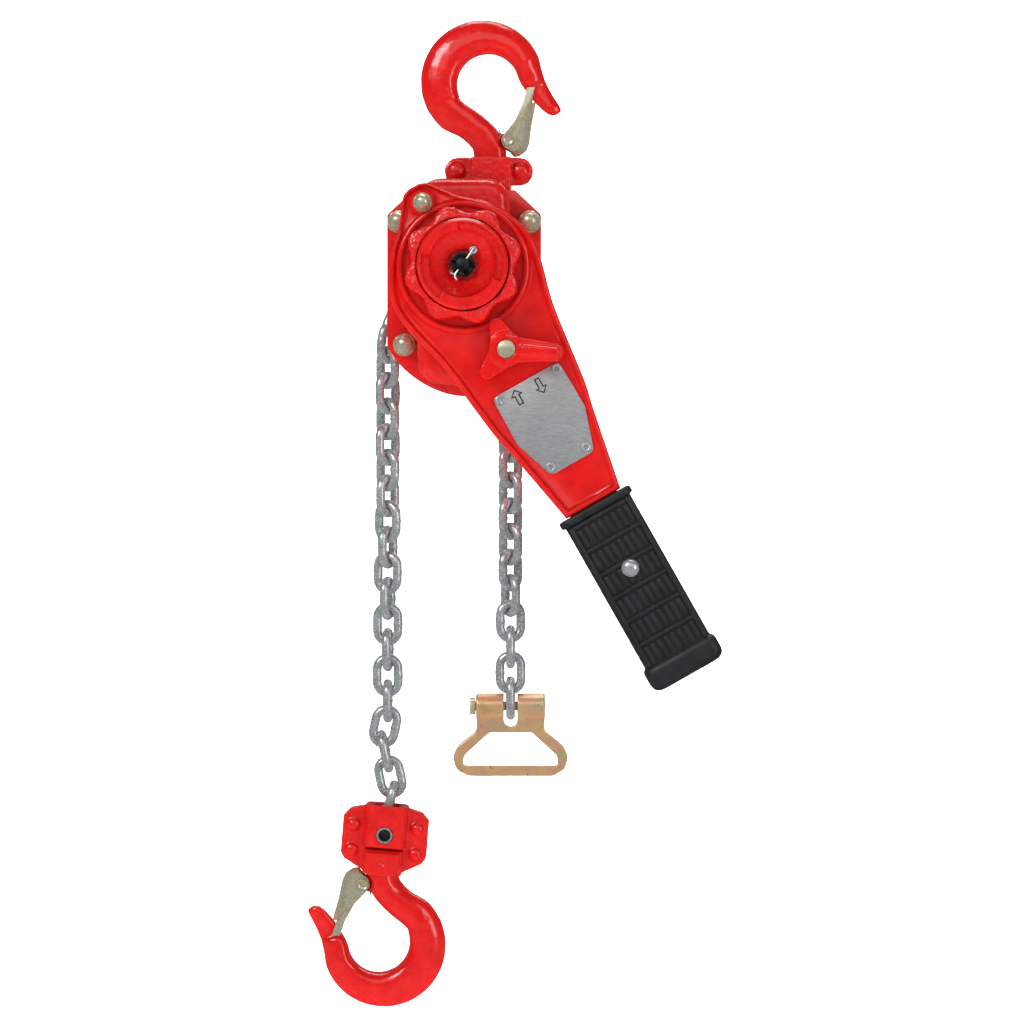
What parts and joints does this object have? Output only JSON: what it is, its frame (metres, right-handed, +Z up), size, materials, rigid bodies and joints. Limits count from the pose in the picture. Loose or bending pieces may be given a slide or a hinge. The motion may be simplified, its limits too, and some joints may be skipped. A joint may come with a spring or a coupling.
{
  "type": "lever chain hoist",
  "caption": "Ratchet lever chain hoist: swivel hook and yoke over a two-plate body, gripped lever with hand wheel, load chain to a lower swivel hook, tail chain with a stop handle.",
  "frame": {"origin": "seat of the top hook, at the top of its bowl in the middle plane of the hook", "axes": "+Z up the hanging direction, -Y towards the lever side, +X to the right when facing the lever"},
  "size_m": [0.2514, 0.127, 0.6074],
  "materials": {
    "red_enamel": "glossy red enamel over forged, cast and pressed steel",
    "bright_zinc": "bright zinc plated steel",
    "yellow_zinc": "yellow passivated zinc",
    "gold_zinc": "tan passivated zinc with a faint rainbow",
    "machined_steel": "machined steel, lightly oiled",
    "black_oxide": "black oxide",
    "friction_lining": "pressed friction lining",
    "black_rubber": "moulded black rubber",
    "brushed_plate": "brushed aluminium"
  },
  "bodies": {
    "top_hook": {"top_hook": "red_enamel", "top_latch_pin": "yellow_zinc"},
    "top_latch": {"top_latch": "yellow_zinc"},
    "top_yoke": {"top_yoke_front": "red_enamel", "top_yoke_rear": "red_enamel"},
    "hoist_body": {"side_plate_front": "red_enamel", "side_plate_rear": "red_enamel", "brake_cover": "red_enamel", "gear_cover": "red_enamel", "yoke_pin": "machined_steel", "chain_stripper": "machined_steel", "chain_on_sheave": "bright_zinc", "stay_bolt_upper_left": "yellow_zinc", "stay_nut_upper_left": "yellow_zinc", "stay_bolt_upper_right": "yellow_zinc", "stay_nut_upper_right": "yellow_zinc", "stay_bolt_lower_left": "yellow_zinc", "stay_nut_lower_left": "yellow_zinc", "stay_bolt_lower_right": "yellow_zinc", "stay_nut_lower_right": "yellow_zinc"},
    "drive": {"pinion_shaft": "machined_steel", "friction_disc_rear": "friction_lining", "friction_disc_front": "friction_lining", "change_gear": "machined_steel", "hand_wheel": "red_enamel", "wheel_cap": "red_enamel", "castle_nut": "black_oxide", "cotter_pin": "bright_zinc"},
    "ratchet": {"ratchet_disc": "machined_steel"},
    "pawl_left": {"pawl_left": "machined_steel"},
    "pawl_right": {"pawl_right": "machined_steel"},
    "sheave": {"load_sheave": "machined_steel", "load_gear": "machined_steel"},
    "upper_disc_gear": {"disc_gear_upper": "machined_steel"},
    "lower_disc_gear": {"disc_gear_lower": "machined_steel"},
    "lever": {"lever_back": "red_enamel", "lever_front": "red_enamel", "ear_bolt": "yellow_zinc", "grip": "black_rubber", "grip_rivet": "bright_zinc", "rating_plate": "brushed_plate"},
    "selector": {"selector": "red_enamel", "selector_pin": "yellow_zinc", "change_pawl": "machined_steel"},
    "load_chain_1": {"load_chain_1": "bright_zinc"},
    "load_chain_2": {"load_chain_2": "bright_zinc"},
    "load_chain_3": {"load_chain_3": "bright_zinc"},
    "load_chain_4": {"load_chain_4": "bright_zinc"},
    "bottom_yoke": {"anchor_link": "bright_zinc", "bottom_yoke_front": "red_enamel", "bottom_yoke_rear": "red_enamel", "anchor_pin": "bright_zinc"},
    "bottom_hook": {"bottom_hook": "red_enamel", "bottom_latch_pin": "yellow_zinc"},
    "bottom_latch": {"bottom_latch": "yellow_zinc"},
    "tail_chain_1": {"tail_chain_1": "bright_zinc"},
    "tail_chain_2": {"tail_chain_2": "bright_zinc"},
    "tail_chain_3": {"tail_chain_3": "bright_zinc"},
    "stop_handle": {"stop_handle": "gold_zinc", "stop_bolt": "gold_zinc"}
  },
  "joints": [
    {"name": "top_latch_open", "type": "hinge", "parent": "top_hook", "child": "top_latch", "pos_m": [0.0107, 0, -0.0538], "axis": [0, -1, 0], "range_deg": [0, 50], "stiffness_Nm_per_rad": 0.02, "springref_deg": -20.05},
    {"name": "top_swivel", "type": "hinge", "parent": "top_hook", "child": "top_yoke", "pos_m": [0, 0, -0.07], "axis": [0, 0, 1], "continuous": true},
    {"name": "yoke_pin_tilt", "type": "hinge", "parent": "top_yoke", "child": "hoist_body", "pos_m": [0, 0, -0.092], "axis": [0, 1, 0], "range_deg": [-6, 6]},
    {"name": "lever_swing", "type": "hinge", "parent": "hoist_body", "child": "lever", "pos_m": [-0.016, 0, -0.136], "axis": [0, 1, 0], "continuous": true},
    {"name": "selector_turn", "type": "hinge", "parent": "lever", "child": "selector", "pos_m": [0.00992, -0.06, -0.18568], "axis": [0, 1, 0], "range_deg": [0, 100]},
    {"name": "hand_wheel_spin", "type": "hinge", "parent": "hoist_body", "child": "drive", "pos_m": [-0.016, 0, -0.136], "axis": [0, 1, 0], "continuous": true},
    {"name": "ratchet_spin", "type": "hinge", "parent": "hoist_body", "child": "ratchet", "pos_m": [-0.016, 0, -0.136], "axis": [0, 1, 0], "continuous": true},
    {"name": "pawl_left_lift", "type": "hinge", "parent": "hoist_body", "child": "pawl_left", "pos_m": [-0.04926, -0.026, -0.12893], "axis": [0, -1, 0], "range_deg": [0, 8], "stiffness_Nm_per_rad": 0.01, "springref_deg": -11.46},
    {"name": "pawl_right_lift", "type": "hinge", "parent": "hoist_body", "child": "pawl_right", "pos_m": [0.01726, -0.026, -0.14307], "axis": [0, -1, 0], "range_deg": [0, 8], "stiffness_Nm_per_rad": 0.01, "springref_deg": -11.46},
    {"name": "disc_gear_upper_spin", "type": "hinge", "parent": "hoist_body", "child": "upper_disc_gear", "pos_m": [-0.016, 0, -0.1128], "axis": [0, 1, 0], "continuous": true},
    {"name": "disc_gear_lower_spin", "type": "hinge", "parent": "hoist_body", "child": "lower_disc_gear", "pos_m": [-0.016, 0, -0.1592], "axis": [0, 1, 0], "continuous": true},
    {"name": "sheave_spin", "type": "hinge", "parent": "hoist_body", "child": "sheave", "pos_m": [-0.016, 0, -0.136], "axis": [0, 1, 0], "continuous": true},
    {"name": "load_chain_1_swing", "type": "hinge", "parent": "hoist_body", "child": "load_chain_1", "pos_m": [-0.06337, 0, -0.1851], "axis": [0, 1, 0], "range_deg": [-5, 18]},
    {"name": "load_chain_2_swing", "type": "hinge", "parent": "load_chain_1", "child": "load_chain_2", "pos_m": [-0.06337, 0, -0.2641], "axis": [1, 0, 0], "range_deg": [-20, 20]},
    {"name": "load_chain_3_swing", "type": "hinge", "parent": "load_chain_2", "child": "load_chain_3", "pos_m": [-0.06337, 0, -0.3431], "axis": [0, 1, 0], "range_deg": [-15, 16]},
    {"name": "load_chain_4_swing", "type": "hinge", "parent": "load_chain_3", "child": "load_chain_4", "pos_m": [-0.06337, 0, -0.4063], "axis": [1, 0, 0], "range_deg": [-20, 20]},
    {"name": "bottom_yoke_swing", "type": "hinge", "parent": "load_chain_4", "child": "bottom_yoke", "pos_m": [-0.0639, 0, -0.46799], "axis": [0, 1, 0], "range_deg": [-9, 12]},
    {"name": "bottom_swivel", "type": "hinge", "parent": "bottom_yoke", "child": "bottom_hook", "pos_m": [-0.06598, 0, -0.49295], "axis": [0.0828, 0, 0.9966], "continuous": true},
    {"name": "bottom_latch_open", "type": "hinge", "parent": "bottom_hook", "child": "bottom_latch", "pos_m": [-0.07819, 0, -0.5107], "axis": [0, -1, 0], "range_deg": [0, 50], "stiffness_Nm_per_rad": 0.02, "springref_deg": -20.05},
    {"name": "tail_chain_1_swing", "type": "hinge", "parent": "hoist_body", "child": "tail_chain_1", "pos_m": [0.0123, 0, -0.2149], "axis": [0, 1, 0], "range_deg": [-20, 6]},
    {"name": "tail_chain_2_swing", "type": "hinge", "parent": "tail_chain_1", "child": "tail_chain_2", "pos_m": [0.0123, 0, -0.2781], "axis": [1, 0, 0], "range_deg": [-20, 20]},
    {"name": "tail_chain_3_swing", "type": "hinge", "parent": "tail_chain_2", "child": "tail_chain_3", "pos_m": [0.0123, 0, -0.3413], "axis": [0, 1, 0], "range_deg": [-18, 15]},
    {"name": "stop_handle_swing", "type": "hinge", "parent": "tail_chain_3", "child": "stop_handle", "pos_m": [0.0123, 0, -0.4015], "axis": [1, 0, 0], "range_deg": [-45, 45]}
  ],
  "couplings": [
    {"joint": "disc_gear_upper_spin", "follows": "hand_wheel_spin", "ratio": -0.38889},
    {"joint": "disc_gear_lower_spin", "follows": "hand_wheel_spin", "ratio": -0.38889},
    {"joint": "sheave_spin", "follows": "hand_wheel_spin", "ratio": 0.15124}
  ]
}
